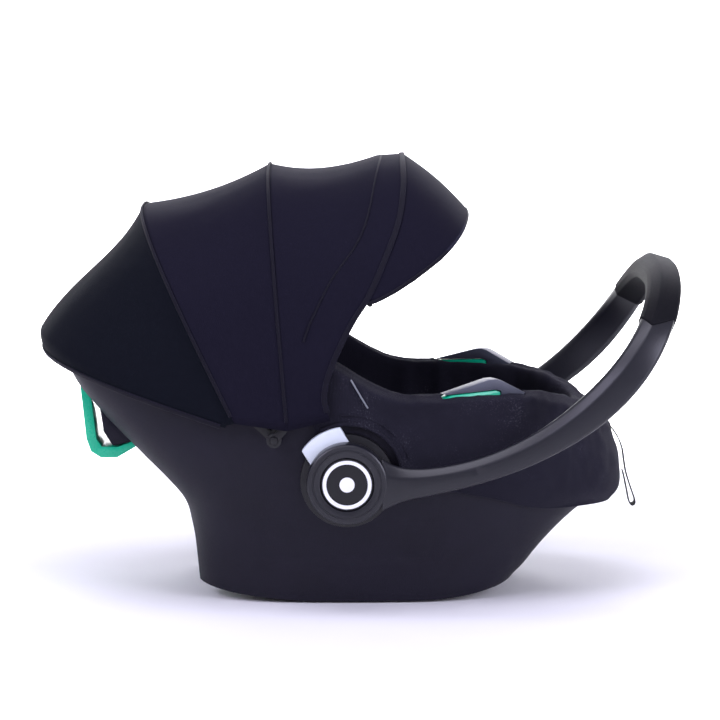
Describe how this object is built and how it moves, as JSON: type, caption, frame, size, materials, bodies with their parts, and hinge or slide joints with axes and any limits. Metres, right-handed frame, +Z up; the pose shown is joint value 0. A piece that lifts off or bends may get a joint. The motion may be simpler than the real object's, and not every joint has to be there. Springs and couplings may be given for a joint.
{
  "type": "infant car seat",
  "caption": "Rear-facing infant car seat with a turning carry handle, folding canopy with visor, sliding headrest, harness and belt guides.",
  "frame": {"origin": "on the floor plane, under the middle of the carry handle's axis", "axes": "+X towards the child's feet, +Y towards the child's left, +Z up"},
  "size_m": [0.7071, 0.44, 0.479],
  "materials": {
    "shell_plastic": "fine satin texture",
    "black_plastic": "satin",
    "guide_plastic": "satin",
    "green_plastic": "semi-gloss",
    "button_plastic": "satin",
    "emblem": "printed",
    "foam": "moulded beads",
    "rubber_pad": "matt",
    "steel": "zinc plated",
    "soft_grip": "soft touch",
    "canopy_cloth": "stretch jersey",
    "cover_cloth": "melange weave",
    "insert_cloth": "soft jersey",
    "strap": "woven webbing",
    "red_plastic": "semi-gloss"
  },
  "bodies": {
    "seat_shell": {"outer_shell": "shell_plastic", "bottom_pan": "black_plastic", "foam_liner": "foam", "rocker_pads": "rubber_pad", "pan_screws": "steel", "bar_carrier_left": "black_plastic", "bar_carrier_right": "black_plastic", "base_bar_front": "steel", "base_bar_rear": "steel", "pivot_mount_left": "black_plastic", "pivot_mount_right": "black_plastic", "pivot_screw_left": "steel", "pivot_screw_right": "steel", "rear_belt_guide": "shell_plastic", "rear_guide_clip": "green_plastic", "lap_guide_left": "guide_plastic", "lap_guide_right": "guide_plastic", "lap_guide_lip_left": "green_plastic", "lap_guide_lip_right": "green_plastic", "button_spring_left": "steel", "button_spring_right": "steel", "canopy_pin_left": "black_plastic", "canopy_pin_right": "black_plastic", "seat_cover": "cover_cloth", "infant_insert": "insert_cloth", "shoulder_strap_left": "strap", "shoulder_strap_right": "strap", "shoulder_pad_left": "insert_cloth", "shoulder_pad_right": "insert_cloth", "lap_strap_left": "strap", "lap_strap_right": "strap", "crotch_strap": "strap", "crotch_pad": "insert_cloth", "buckle_body": "black_plastic", "buckle_tongues": "steel", "adjuster_body": "black_plastic", "adjuster_strap": "strap", "harness_yoke": "steel", "cover_tag": "strap"},
    "carry_handle": {"handle_frame": "black_plastic", "grip_sleeve": "soft_grip", "hub_cap_left": "black_plastic", "hub_cap_right": "black_plastic", "hub_emblem_left": "emblem", "hub_emblem_right": "emblem"},
    "release_left": {"release_button_left": "button_plastic"},
    "release_right": {"release_button_right": "button_plastic"},
    "canopy_front": {"canopy_bow_front": "black_plastic", "canopy_front_panel": "canopy_cloth"},
    "canopy_middle": {"canopy_bow_middle": "black_plastic", "canopy_rear_panel": "canopy_cloth"},
    "canopy_rear": {"canopy_bow_rear": "black_plastic", "canopy_back_panel": "canopy_cloth"},
    "visor": {"canopy_visor": "canopy_cloth", "visor_wire": "steel"},
    "headrest": {"headrest_shell": "black_plastic", "headrest_pad": "insert_cloth", "headrest_grip": "black_plastic"},
    "buckle_release": {"buckle_button": "red_plastic"},
    "adjuster_release": {"adjuster_button": "guide_plastic"}
  },
  "joints": [
    {"name": "handle_turn", "type": "hinge", "parent": "seat_shell", "child": "carry_handle", "pos_m": [0, 0, 0.143], "axis": [0, -1, 0], "range_deg": [0, 145]},
    {"name": "canopy_fold", "type": "hinge", "parent": "seat_shell", "child": "canopy_rear", "pos_m": [-0.078, 0, 0.186], "axis": [0, -1, 0], "range_deg": [0, 26.4], "deforming": ["canopy_back_panel"]},
    {"name": "canopy_middle_fold", "type": "hinge", "parent": "canopy_rear", "child": "canopy_middle", "pos_m": [-0.078, 0, 0.186], "axis": [0, -1, 0], "range_deg": [0, 19.8], "deforming": ["canopy_rear_panel"]},
    {"name": "canopy_front_fold", "type": "hinge", "parent": "canopy_middle", "child": "canopy_front", "pos_m": [-0.078, 0, 0.186], "axis": [0, -1, 0], "range_deg": [0, 19.8], "deforming": ["canopy_front_panel"]},
    {"name": "visor_tuck", "type": "hinge", "parent": "canopy_front", "child": "visor", "pos_m": [0.02418, 0, 0.33146], "axis": [0, -1, 0], "range_deg": [0, 28], "deforming": ["canopy_visor"]},
    {"name": "headrest_slide", "type": "slide", "parent": "seat_shell", "child": "headrest", "axis": [-0.766, 0, 0.6428], "range_m": [0, 0.04]},
    {"name": "release_press_left", "type": "slide", "parent": "seat_shell", "child": "release_left", "axis": [0.5299, 0, -0.848], "range_m": [0, 0.006], "stiffness_N_per_m": 600, "deforming": ["button_spring_left"]},
    {"name": "release_press_right", "type": "slide", "parent": "seat_shell", "child": "release_right", "axis": [0.5299, 0, -0.848], "range_m": [0, 0.006], "stiffness_N_per_m": 600, "deforming": ["button_spring_right"]},
    {"name": "buckle_press", "type": "slide", "parent": "seat_shell", "child": "buckle_release", "axis": [0, 0, -1], "range_m": [0, 0.003], "stiffness_N_per_m": 800},
    {"name": "adjuster_press", "type": "slide", "parent": "seat_shell", "child": "adjuster_release", "axis": [0, 0, -1], "range_m": [0, 0.004], "stiffness_N_per_m": 800}
  ],
  "couplings": [
    {"joint": "canopy_middle_fold", "follows": "canopy_fold", "ratio": 0.75},
    {"joint": "canopy_front_fold", "follows": "canopy_fold", "ratio": 0.75}
  ]
}
